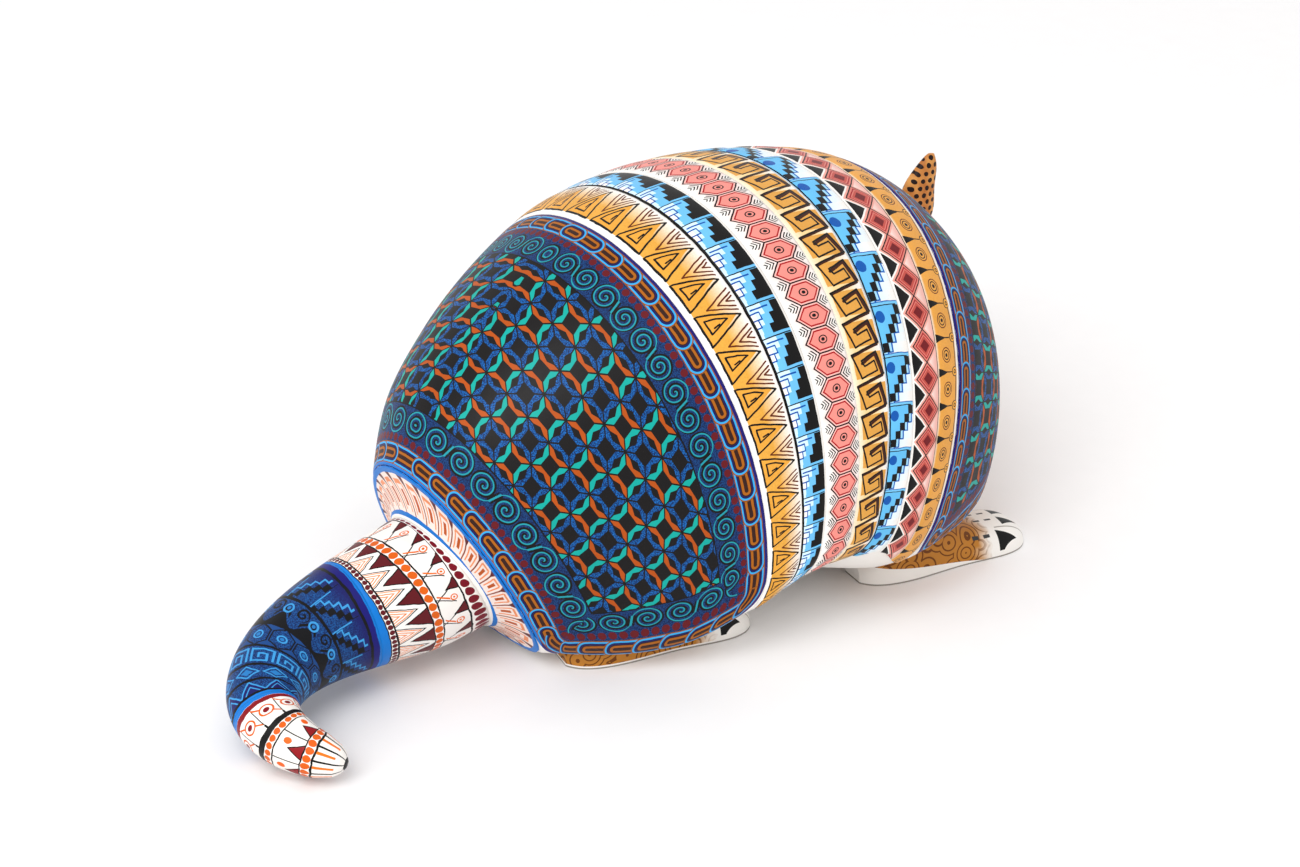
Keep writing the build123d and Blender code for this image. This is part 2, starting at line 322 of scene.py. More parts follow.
class Paint:
    """One material: a ground colour, with further colours laid over it by masks."""

    def __init__(self, name, ground):
        global TREE
        self.material = bpy.data.materials.new(name)
        self.material.use_nodes = True
        TREE = self.material.node_tree
        self.colour = ground if not isinstance(ground, str) else tone(ground)

    def mixed(self, a, b, mask):
        node = TREE.nodes.new("ShaderNodeMix")
        node.data_type, node.blend_type = "RGBA", "MIX"
        node.clamp_factor = True
        TREE.links.new(mask.socket, node.inputs[0])
        for value, socket in ((a, node.inputs[6]), (b, node.inputs[7])):
            if isinstance(value, str):
                value = tone(value)
            if isinstance(value, tuple):
                socket.default_value = value
            else:
                TREE.links.new(value, socket)
        return node.outputs[2]

    def lay(self, colour, mask):
        self.colour = self.mixed(self.colour, colour, mask)

    def done(self, rough=0.42, grain=0.35, speckle=0.0, mottle=0.10, bump=0.06, coat=0.05):
        """Hand-brushed variation, fine wear, satin varnish and a faint bump of brush marks and wood grain."""
        tree = TREE
        wash = noise(90, 5)
        value = mad(Num(wash.outputs["Fac"]), 2 * mottle, 1 - mottle)
        if speckle:
            fine = noise(1500, 1)
            value = value * mad(Num(fine.outputs["Fac"]), 2 * speckle, 1 - speckle)
        scale = tree.nodes.new("ShaderNodeVectorMath")
        scale.operation = "SCALE"
        if isinstance(self.colour, tuple):
            scale.inputs[0].default_value = self.colour[:3]
        else:
            tree.links.new(self.colour, scale.inputs[0])
        tree.links.new(value.socket, scale.inputs["Scale"])
        shader = tree.nodes["Principled BSDF"]
        deep = tree.nodes.new("ShaderNodeGamma")
        deep.inputs["Gamma"].default_value = DEEPEN
        tree.links.new(scale.outputs[0], deep.inputs["Color"])
        tree.links.new(deep.outputs[0], shader.inputs["Base Color"])
        brush = noise(420, 4, (1, 0.35, 1))
        rough_value = mad(Num(brush.outputs["Fac"]), grain * 0.4, rough - grain * 0.2)
        tree.links.new(rough_value.socket, shader.inputs["Roughness"])
        relief = tree.nodes.new("ShaderNodeBump")
        relief.inputs["Strength"].default_value = bump
        relief.inputs["Distance"].default_value = 0.0006
        tree.links.new(brush.outputs["Fac"], relief.inputs["Height"])
        tree.links.new(relief.outputs[0], shader.inputs["Normal"])
        shader.inputs["Specular IOR Level"].default_value = 0.16
        shader.inputs["Coat Weight"].default_value = coat
        shader.inputs["Coat Roughness"].default_value = 0.32
        return self.material


BLACK, WHITE = "1C1A1B", "F3F0EC"
ULTRA, CERULEAN, NAVY = "2D2588", "0C8FD6", "2B2A72"
TEAL, ORANGE, UMBER = "12B5AD", "BF6A20", "4F2F24"
CHARCOAL, MAROON = "262223", "7A2531"


def wobble(amount):
    """Two small shifts, in the same units as amount, that make drawn lines look hand-made."""
    node = noise(260, 2)
    parts = TREE.nodes.new("ShaderNodeSeparateXYZ")
    TREE.links.new(node.outputs["Color"], parts.inputs[0])
    return [mad(Num(parts.outputs[i]), 2 * amount, -amount) for i in (0, 1)]


# ------------------------------------------------------------------ the seven bands
# Length of one motif along each band in mm, on the back and low on the flank.
MOTIFS = {1: (14.2, 10.4), 2: (12.6, 9.6), 3: (8.8, 8.0), 4: (11.6, 9.0), 5: (19.5, 13), 6: (12.6, 9.2),
          7: (13.0, 10.4)}


def band_start(name, ground):
    """Starts a band's material: x runs from 0 to 1 along each motif, down the flank, and y across, forwards."""
    p = Paint(name, ground)
    wx, wy = wobble(0.02)
    return p, fract(attr("u") + wx), attr("v") + wy * 0.9


def outline(p, colour, x, y, points, half, along=12.0, across=15.0):
    """Brush strokes through points given in x and y; half is half the line's width in mm."""
    lines = []
    for (x0, y0), (x1, y1) in zip(points, points[1:]):
        lines.append(stroke(x * along, y * across, x0 * along, y0 * across, x1 * along, y1 * across, half))
    p.lay(colour, either(*lines))


def paint_band_1():
    p, x, y = band_start("paint_band_triangles", WHITE)
    p.lay("E6B65E", both(ramp(y, 0.92, 0.45), over(y, 0.115)))
    top = mad(y, 0.48, -0.058)                       # along position of a triangle's upper edge
    leg = mad(y, -0.66, 0.90)                        # and of its lower edge
    inside = both(over(x, top), under(x, leg), over(y, 0.115))
    p.lay("E8B458", inside)
    # nested brown chevrons between one triangle and the next
    u = x + under(x, mad(y, 0.62, -0.10))
    for chevron in ([(0.68, 0.90), (1.00, 0.36), (1.27, 0.88)], [(0.80, 0.92), (1.00, 0.58), (1.17, 0.88)],
                    [(0.89, 0.90), (0.98, 0.76), (1.05, 0.90)]):
        outline(p, "7C3F16", u, y, chevron, 0.25)
    outline(p, BLACK, x, y, [(0.0, 0.12), (0.85, 0.12), (0.40, 0.88)], 0.30)
    outline(p, BLACK, x, y, [(0.40, 0.88), (0.0, 0.12)], 0.30)
    outline(p, BLACK, x, y, [(0.27, 0.42), (0.20, 0.22), (0.56, 0.22), (0.375, 0.60), (0.27, 0.42)], 0.26)
    outline(p, BLACK, x, y, [(0.42, 0.42), (0.45, 0.31)], 0.26)
    p.lay(BLACK, over(y, 0.968))
    return p.done(speckle=0.12)


def paint_band_2():
    p, x, y = band_start("paint_band_blocks", "D9EEF9")
    step = high(floor((x - 0.04) * 3.35), 0)
    stair = mad(step, -0.14, 0.68)
    p.lay("86C9EE", both(over(y, stair - 0.26), under(x, 0.90)))
    p.lay("86C9EE", both(over(x, 0.88), over(y, 0.12)))
    p.lay(WHITE, both(over(x, 0.24), under(x, 0.66), under(y, 0.16)))
    p.lay(BLACK, both(over(y, stair), near(x, 0.47, 0.44)))
    p.lay(WHITE, over(y, 0.92))
    outline(p, "0F6DB6", x, y, [(0.14, 0.10), (0.14, 0.58)], 0.30)
    outline(p, "0F6DB6", x, y, [(0.25, 0.0), (0.25, 0.28), (0.46, 0.28), (0.46, 0.0)], 0.27)
    outline(p, "0F6DB6", x, y, [(0.46, 0.17), (0.68, 0.17), (0.68, 0.0)], 0.27)
    p.lay(BLACK, both(either(over(x, 0.982), under(x, 0.018)), under(y, 0.90)))
    p.lay(BLACK, under(y, 0.045))
    return p.done()


def paint_band_3():
    p, x, y = band_start("paint_band_hexagons", WHITE)
    along, across = size(x - 0.5) * 8.7, mad(y, 17.8, -9.4)
    slant = mad(along, 0.686, size(across) * 0.728) - 5.24
    hexa = high(along - 4.35, slant)
    p.lay("F7DEDA", ramp(slant, 2.0, 0.2) * 0.7)
    p.lay("F6C9C2", under(hexa, 0))
    p.lay("EFA59C", under(hexa, -1.0))
    p.lay("B9242F", near(hexa, -1.02, 0.27))
    p.lay(BLACK, either(near(slant, 0, 0.27) * under(along, 4.36), over(along, 4.08) * under(size(across), 3.1)))
    for gap, reach, half in ((1.05, 1.9, 0.22), (1.95, 1.5, 0.20), (2.85, 0.9, 0.20)):
        p.lay(BLACK, both(near(slant, gap, half), over(along, 4.35 - reach)))
    r = length(along, across * 0.8)
    p.lay(BLACK, either(under(r, 0.62), near(r, 1.30, 0.20)))
    return p.done()


def paint_band_4():
    p, x, y = band_start("paint_band_key", WHITE)
    p.lay("F6D38C", ramp(size(y - 0.38), 0.52, 0.15) * 0.75)
    top, base = mad(y, 0.045, -0.005), mad(y, 0.05, 0.78)
    p.lay("E2B263", both(over(x, top), under(x, base), near(y, 0.52, 0.42)))
    outline(p, "5B2E15", x, y, [(0.33, 0.33), (0.11, 0.74), (0.74, 0.86)], 0.60)
    outline(p, "5B2E15", x, y, [(0.83, 0.88), (1.04, 0.12)], 0.46)
    outline(p, "5B2E15", x, y, [(-0.17, 0.88), (0.04, 0.12)], 0.46)
    outline(p, BLACK, x, y, [(-0.23, 0.93), (0.0, 0.09), (0.79, 0.25), (0.64, 0.74), (0.32, 0.69), (0.43, 0.385),
                             (0.24, 0.325), (0.04, 0.78), (0.77, 0.93), (1.0, 0.09)], 0.36)
    return p.done(speckle=0.08)


def paint_band_5():
    p, x, y = band_start("paint_band_stairs", WHITE)
    step = floor(x * 5.6)
    middle = mad(step, -0.17, 0.84)
    p.lay("7FC9EE", under(y, middle))
    p.lay("B5E0F5", both(over(y, middle), under(y, middle + 0.20)))
    p.lay("E3F2FA", both(over(y, middle + 0.2), ramp(y - middle, 0.7, 0.2)))
    a, b = floor((x - 0.016) * 5.6), floor((x + 0.016) * 5.6)
    p.lay("1878C0", both(over(y, mad(b, -0.17, 1.02)), under(y, mad(a, -0.17, 1.075)), under(x, 0.93)))
    p.lay(BLACK, both(near(y, middle, 0.105), under(x, 0.90)))
    p.lay("1672BB", under(length((x - 0.20) * 8.6, (y - 0.20) * 6.6), 1.0))
    p.lay("8FD0F0", over(x, 0.925))
    p.lay("1878C0", near(x, 0.925, 0.010))
    p.lay(BLACK, near(x, 0.99, 0.010) * under(y, 0.86))
    p.lay(BLACK, near(y, 0.03, 0.022))
    p.lay(WHITE, over(y, 0.955))
    return p.done()


def paint_band_6():
    p, x, y = band_start("paint_band_diamonds", WHITE)
    dx, dy = size(x - 0.5), size(y - 0.53)
    d = mad(dx, 1.96, dy * 2.44)
    p.lay("EFB5AA", ramp(y, 0.50, 0.85) * 0.75)
    p.lay(BLACK, both(over(d, 1.34), over(y, 0.05), under(y, 0.42)))
    p.lay("EFB9AE", near(d, 1.12, 0.08))
    p.lay("E3958A", under(d, 1.0))
    p.lay(BLACK, near(d, 0.985, 0.055))
    p.lay("B5303A", near(d, 0.74, 0.055))
    p.lay("CC6A60", under(d, 0.60))
    p.lay("8A1C2A", under(d, 0.40))
    p.lay(BLACK, near(y, 0.978, 0.020))
    return p.done()


def paint_band_7():
    p, x, y = band_start("paint_band_cells", WHITE)
    p.lay("E6B262", ramp(size(y - 0.44), 0.46, 0.36))
    mm_x, mm_y = (x - 0.5) * 13.0, mad(y, 15.0, -6.0)
    p.lay(BLACK, both(over(size(mm_x), mad(mm_y, 0.27, 6.3)), over(y, 0.03), under(y, 0.45)))
    p.lay(BLACK, both(over(size(mm_x), 6.27), near(y, 0.48, 0.18)))
    r = length(mm_x, mm_y)
    p.lay(BLACK, either(under(r, 0.75), near(r, 1.75, 0.22)))
    p.lay("7C3F16", near(r, 2.75, 0.20))
    sx, sy = size(size(mm_x) - 6.5), mad(y, 15.0, -11.2)
    r = length(sx, sy)
    turn = calc("ARCTAN2", sy, sx) * (0.5 / math.pi)
    p.lay("EBB659", under(r, 1.9))
    p.lay(BLACK, both(under(size(fract(r / 1.2 - turn) - 0.5), 0.19), under(r, 1.9)))
    p.lay(BLACK, both(near(y, 0.80, 0.018), over(r, 1.9)))
    p.lay(WHITE, over(y, 0.865))
    p.lay(ULTRA, over(y, 0.955))
    return p.done(speckle=0.08)


# ------------------------------------------------------------------ the two shields
CORNER_RADIUS = 11.0   # of the rows that run round a shield's corners, mm


def paint_shield(name, scrolls, rear_line, reverse):
    """A border of scallops, dots and scrolls round a lattice. The attributes hold distances in mm, and cells."""
    p = Paint(name, CHARCOAL)
    wx, wy = wobble(0.22)
    front, bottom, rear = attr("front") + wx, attr("bottom") + wy, attr("rear") + wx
    along_front, along_bottom, along_rear = attr("along_front"), attr("along_bottom"), attr("along_rear")
    radius, turn = CORNER_RADIUS, 6.0
    a, b, c = (high(radius - e, 0) for e in (front, bottom, rear))
    depth = radius - calc("SQRT", mad(a, a, mad(b, b, c * c)))
    inner = low(low(front, bottom), rear)
    depth = depth + high(inner - radius, 0)
    on_rear = under(rear, low(front, bottom))
    on_bottom = under(bottom, front) * (1 - on_rear)
    bend = calc("ARCTAN2", b, a + 0.001) * turn
    bend_rear = calc("ARCTAN2", c, b + 0.001) * turn
    corner, corner_rear = over(a, 0) * over(b, 0), over(b, 0) * over(c, 0)
    straight = mad(on_bottom, along_bottom + (turn * math.pi / 2) + along_front, -along_front)
    straight = straight + on_rear * (along_rear + along_front)
    way = straight + corner * (bend - straight)
    way = way + corner_rear * (along_bottom + bend_rear + turn * math.pi / 2 - way)
    if reverse:
        way = -way
    # field
    lx, ly = attr("lattice_x") + wx * 0.03, attr("lattice_y") + wy * 0.03
    fx, fy = fract(lx), fract(ly)
    nx, ny = 0.5 - size(fx - 0.5), 0.5 - size(fy - 0.5)
    flat = under(ny, nx)
    n, m = low(nx, ny), high(nx, ny)
    ribbon = both(over(m - n, 0.035), under(n, 0.24), over(n - high(mad(m, 0.44, -0.11), 0), 0.022))
    odd_flat = fract((floor(lx) + floor(ly + 0.5)) * 0.5) * 2
    odd_up = fract((floor(ly) + floor(lx + 0.5)) * 0.5) * 2
    accent_flat = size(under(fy, 0.5) - odd_flat)
    accent_up = size(under(fx, 0.5) - odd_up)
    fine = noise(2600, 1)
    speckled = p.mixed(tone("0B2F63"), tone("2383C4"), ramp(Num(fine.outputs["Fac"]), 0.36, 0.64))
    p.lay(speckled, ribbon)
    p.lay(ORANGE, both(ribbon, flat, accent_flat))
    p.lay(TEAL, both(ribbon, 1 - flat, accent_up))
    # border ground with speckles
    edge = 22.0 if scrolls else 12.4
    ground = p.mixed(tone("152C5E"), tone("235F93"), ramp(Num(fine.outputs["Fac"]), 0.38, 0.62))
    p.lay(BLACK, under(depth, edge + 0.55))
    p.lay(ground, under(depth, edge))
    if scrolls:
        pitch, reach = 20.6, 5.0
        sway = mad(on_bottom, along_bottom - along_front, along_front) - 5.6
        sway = sway + on_rear * (along_rear - sway)
        q = (fract(sway / pitch) - 0.5) * pitch
        side = calc("SIGN", q)
        x1 = size(q) - 5.15
        y1 = (depth - 16.8) * side
        r = length(x1, y1)
        turns = calc("ARCTAN2", y1, x1) * (0.5 / math.pi)
        phase = fract(r / 2.02 + turns + 0.45)
        inside = under(r, reach)
        link = stroke(size(q), y1, 0.63, -2.2, -0.63, 2.2, 0.33)
        link_dark = stroke(size(q), y1, 1.25, -2.1, 0.05, 2.2, 0.45)
        p.lay(BLACK, either(both(near(phase, 0.82, 0.22), inside), link_dark))
        p.lay("35A9B4", either(both(near(phase, 0.5, 0.125), inside), link))
    # dots
    dot = length((fract(way / 3.4) - 0.5) * 3.4, depth - 10.5)
    p.lay("7E2430", under(dot, 1.36))
    # scallops
    pitch, half = 9.3, 3.35
    t = (fract((way - 0.7) / pitch) - 1) * pitch + 0.7
    w = size(depth - 5.0)
    cap = length(high(t + half, 0), w)
    tail = over(cap, half)
    ring = mad(tail, w - cap, cap)
    p.lay("A36A1E", near(depth, 5.0, 3.75))
    p.lay("4FB7E6", both(under(ring, half), near(depth, 5.0, 3.4)))
    p.lay(NAVY, under(ring, 2.72))
    p.lay("4A2C22", under(ring, 2.0))
    p.lay("B97A22", under(ring, 1.60))
    p.lay(UMBER, under(ring, 0.70))
    p.lay("A36A1E", both(near(cap, half + 0.22, 0.24), over(t, -half - 1.0), near(depth, 5.0, 3.5)))
    p.lay(ULTRA, under(depth, 1.25))
    if rear_line:
        p.lay(CERULEAN, under(rear, 1.3))
        p.lay(ULTRA, under(rear, 0.3))
    p.lay(WHITE, under(depth, 0.0))
    return p.done(rough=0.46, mottle=0.08)


def shield(name, s0, s1, rows, cols, scrolls, lattice, rear_line, reverse):
    """A painted shield between two stations; s0 is its front edge when scrolls, else its rear edge."""
    s = np.linspace(s0, s1, rows)[:, None]
    t = np.linspace(0, 1, cols)[None, :]
    rim = rim_at(s)
    c = rim + (2 - 2 * rim) * t
    s = s + 0 * t
    skin, normal = body_point(s, c), body_normal(s, c)
    front = run(skin, 0)
    rear = front[-1:, :] - front
    arc = run(skin, 1)
    bottom = np.interp(np.minimum(arc, arc[:, -1:] - arc), [0, 16, 34, 300], [0, 12, 32, 298])
    ring_c = np.linspace(-0.6, 2.6, 600)

    def around(station, c_values, zero):
        line = run(body_point(np.full_like(ring_c, station), ring_c)[None], 1)[0]
        side = np.minimum(c_values, 2 - c_values)
        return np.interp(side, ring_c, line) - np.interp(zero, ring_c, line)

    first, last = s0 + 0.1 * (s1 - s0), s1 - 0.1 * (s1 - s0)
    along_front = around(first, c, float(rim_at(first))) - CORNER_RADIUS
    along_rear = around(last, c, float(rim_at(last))) - CORNER_RADIUS
    line_s = np.linspace(s0, s1, 400)
    low_line = run(body_point(line_s, rim_at(line_s) + 0.06)[None], 1)[0]
    order = np.argsort(line_s)
    along_bottom = np.interp(s, line_s[order], low_line[order]) - CORNER_RADIUS
    mid = s0 + 0.45 * (s1 - s0)
    line = run(body_point(np.full_like(ring_c, mid), ring_c)[None], 1)[0]
    lattice_x, lattice_y = lattice(np.abs(np.interp(c, ring_c, line) - np.interp(1.0, ring_c, line)), front)
    fade = np.clip(np.minimum(np.minimum(front, rear), bottom) / 1.5, 0, 1)
    outer = skin + normal * (0.15 + 0.4 * fade)[..., None]
    inner = skin - normal * PLATE_DEPTH
    attributes = {"front": front, "rear": rear, "bottom": bottom, "along_front": along_front,
                  "along_rear": along_rear + float(np.max(along_bottom)) + 24, "along_bottom": along_bottom,
                  "lattice_x": lattice_x, "lattice_y": lattice_y}
    material = paint_shield("paint_" + name, scrolls, rear_line, reverse)
    return slab(name, outer, inner, attributes, material, "figure")


def band(number, material):
    s0, s1 = BAND_EDGES[number - 1], BAND_EDGES[number]
    s = np.linspace(s0, s1, 15)[:, None]
    rim = rim_at(s)
    t = np.linspace(0, 1, 301)[None, :]
    c = rim + (2 - 2 * rim) * t
    s = s + 0 * t
    skin, normal = body_point(s, c), body_normal(s, c)
    ring_c = np.linspace(-0.6, 1.0, 600)
    line = run(body_point(np.full_like(ring_c, (s0 + s1) / 2), ring_c)[None], 1)[0]
    on_back, on_flank = MOTIFS[number]
    motif = np.interp(ring_c, [0, 0.5], [on_flank, on_back])
    count = np.concatenate([[0], np.cumsum(np.diff(line) / motif[1:])])
    u = (count[-1] - np.interp(np.minimum(c, 2 - c), ring_c, count)) * np.where(c > 1, -1, 1)
    v = (s - s0) / (s1 - s0)
    rise = 1 - np.abs(2 * v - 1) ** 4
    outer = skin + normal * (0.12 + 0.5 * rise)[..., None]
    inner = skin - normal * PLATE_DEPTH
    return slab("band_%d" % number, outer, inner, {"u": u, "v": v}, material, "figure")


def leaning_lattice(down, back):
    """Cell numbers of the rear lattice, whose rows fan and lean, from mm off the spine and the front edge."""
    across = 0.099 * down - 0.0323 * back - 0.00008 * down ** 2 - 0.00014 * down * back + 0.00015 * back ** 2
    along = 0.214 - 0.0123 * down + 0.1091 * back + 0.00022 * down ** 2
    return across, along


def square_lattice(down, back):
    return down / 10.5, back / 10.5


shield("shell_pelvic", 0.0, -4.0, 110, 260, True, leaning_lattice, True, False)
shield("shell_shoulder", 7.0, 9.6, 60, 260, False, square_lattice, False, True)
for number, painter in enumerate((paint_band_1, paint_band_2, paint_band_3, paint_band_4, paint_band_5,
                                  paint_band_6, paint_band_7), 1):
    band(number, painter())

# ------------------------------------------------------------------ the tail and its collar
TAIL_R, COLLAR = 24.5, 5.0
ROOT = np.array([0, 60.1, 33.0])
TAIL_OUT = np.array([0, 0.9117, -0.4109])
TAIL_LINE = np.array([
    (0, 64.66, 30.95), (0.5, 75.5, 29.4), (1.5, 91, 27.6), (2.5, 107.5, 25.4), (1, 124.5, 22.8), (-4.6, 138.8, 19.8),
    (-14.6, 148.3, 16.5), (-28, 150.6, 13.4), (-40, 146.5, 10.6), (-49.5, 139.5, 7.9)])
TAIL_GIRTH = ((0, 24.5), (0.12, 23.2), (0.3, 19.8), (0.5, 15.8), (0.7, 11.9), (0.85, 9.4), (0.93, 7.6), (0.975, 5.4),
              (0.993, 3.2), (1, 1.2))
# places in the painted pattern, and the shares of the tail's length where they lie
TAIL_PLACES = ((0, 0), (0.021, 0.03), (0.1345, 0.15), (0.252, 0.285), (0.4085, 0.43), (0.485, 0.52), (0.718, 0.735),
               (0.8545, 0.83), (0.944, 0.91), (1, 1))
UP = np.array([0, 0, 1.0])


def smooth_line(knots, shares):
    """Points and directions at shares of the length of a cubic spline through knots."""
    t = np.concatenate([[0], np.cumsum(np.linalg.norm(np.diff(knots, axis=0), axis=1))])
    h, d = np.diff(t), np.diff(knots, axis=0) / np.diff(t)[:, None]
    n = len(t)
    a, b = np.zeros((n, n)), np.zeros((n, 3))
    a[0, 0], a[0, 1], b[0] = 2, 1, 3 * d[0]
    a[-1, -1], a[-1, -2], b[-1] = 2, 1, 3 * d[-1]
    for i in range(1, n - 1):
        a[i, i - 1], a[i, i], a[i, i + 1] = h[i], 2 * (h[i] + h[i - 1]), h[i - 1]
        b[i] = 3 * (h[i] * d[i - 1] + h[i - 1] * d[i])
    m = np.linalg.solve(a, b)

    def at(x):
        i = np.clip(np.searchsorted(t, x, "right") - 1, 0, n - 2)
        w = h[i][:, None]
        q = ((x - t[i]) / h[i])[:, None]
        return (knots[i] * (1 + 2 * q) * (1 - q) ** 2 + knots[i + 1] * q * q * (3 - 2 * q)
                + w * q * (1 - q) * (m[i] * (1 - q) - m[i + 1] * q))

    fine = np.linspace(0, t[-1], 2000)
    run_length = np.concatenate([[0], np.cumsum(np.linalg.norm(np.diff(at(fine), axis=0), axis=1))])
    x = np.interp(np.asarray(shares) * run_length[-1], run_length, fine)
    e = 0.05
    direction = at(np.minimum(x + e, t[-1])) - at(np.maximum(x - e, 0))
    return at(x), direction / np.linalg.norm(direction, axis=1, keepdims=True)


def rings_along(points, directions, radius, count):
    """Circles across a line; the first point of each is its lowest."""
    level = np.cross(UP, directions)
    level /= np.linalg.norm(level, axis=1, keepdims=True)
    above = np.cross(directions, level)
    a = np.arange(count) / count * 2 * math.pi + math.pi
    return (points[:, None] + (np.cos(a)[None, :] * radius[:, None])[..., None] * above[:, None]
            + (np.sin(a)[None, :] * radius[:, None])[..., None] * level[:, None])


def tail_rings(start, end, rows):
    """Rings of the tail between two places of its painted pattern, and those places."""
    pattern = np.linspace(start, end, rows)
    shares = np.interp(pattern, *zip(*TAIL_PLACES))
    points, directions = smooth_line(TAIL_LINE, shares)
    blend = np.clip(shares / 0.07, 0, 1)[:, None]
    directions = directions * blend + TAIL_OUT * (1 - blend)
    directions /= np.linalg.norm(directions, axis=1, keepdims=True)
    radius = np.interp(shares, [g[0] for g in TAIL_GIRTH], [g[1] for g in TAIL_GIRTH])
    return rings_along(points, directions, radius, 160), pattern


def ring_start(name, ground):
    p = Paint(name, ground)
    wx, wy = wobble(0.004)
    return p, attr("u") + wx * 0.6, attr("v") + wy


def dots(p, u, v, count, middle, reach, colour):
    """A row of painted dots round the tail; reach is the dot's radius as a share of the tail's length."""
    x = (fract(u * count) - 0.5) * 2.2
    y = (v - middle) * (1 / reach)
    p.lay(colour, under(length(x, y), 1.0))


def paint_tail_root():
    p, u, v = ring_start("paint_tail_root", WHITE)
    # the rings lean towards the tip at the tail's upper left, most of all at the orange dots
    slant = mad(size(v - 0.13), -0.208, 0.035)
    v = v - slant * calc("COSINE", mad(u, 2 * math.pi, -0.75 * math.pi))
    dots(p, u, v, 44, 0.021, 0.0125, "8F1636")
    p.lay(BLACK, near(v, 0.041, 0.0026))
    # white fish-like leaves over small maroon spikes
    x, w = fract(u * 15), ramp(v, 0.043, 0.119)
    inside = near(v, 0.081, 0.038)
    spike = size(mad(w, -0.30, x) - 0.20) - mad(w, -0.42, 0.20)
    p.lay(MAROON, both(inside, under(spike, 0)))
    p.lay(BLACK, both(inside, near(spike, 0.01, 0.022)))
    lean = mad(w, -0.55, x)
    p.lay(BLACK, both(inside, near(lean, 0.12, 0.022), over(w, 0.42)))
    p.lay(BLACK, both(inside, near(mad(w, 0.45, x), 1.02, 0.022), over(w, 0.30)))
    p.lay("E8842A", both(inside, near(mad(w, 0.55, x), 0.98, 0.035), over(w, 0.50), under(w, 0.92)))
    eye = length((x - 0.70) * 9.5, (w - 0.33) * 8.0)
    p.lay("E8842A", both(inside, near(eye, 1.0, 0.20)))
    p.lay("E8842A", both(inside, under(eye, 0.38)))
    p.lay(BLACK, near(v, 0.1205, 0.0022))
    dots(p, u, v, 44, 0.1345, 0.0115, "DE7A1C")
    p.lay(BLACK, near(v, 0.1485, 0.0022))
    # zigzag
    x, w = fract(u * 17), ramp(v, 0.1505, 0.2245)
    inside = near(v, 0.1875, 0.037)
    bend = w - mad(size(x - 0.5), -1.7, 0.92)
    p.lay(MAROON, both(inside, under(bend, -0.26)))
    p.lay("EE9A52", both(inside, over(bend, 0.20), under(size(fract(bend * 5.0) - 0.5), 0.20)))
    p.lay(BLACK, both(inside, near(bend, -0.24, 0.045)))
    p.lay(BLACK, both(inside, near(bend, 0.17, 0.040)))
    p.lay(BLACK, near(v, 0.2255, 0.0022))
    dots(p, u, v, 64, 0.2335, 0.0058, MAROON)
    p.lay(BLACK, near(v, 0.2415, 0.0016))
    p.lay(CERULEAN, over(v, 0.2425))
    return p.done(rough=0.40)


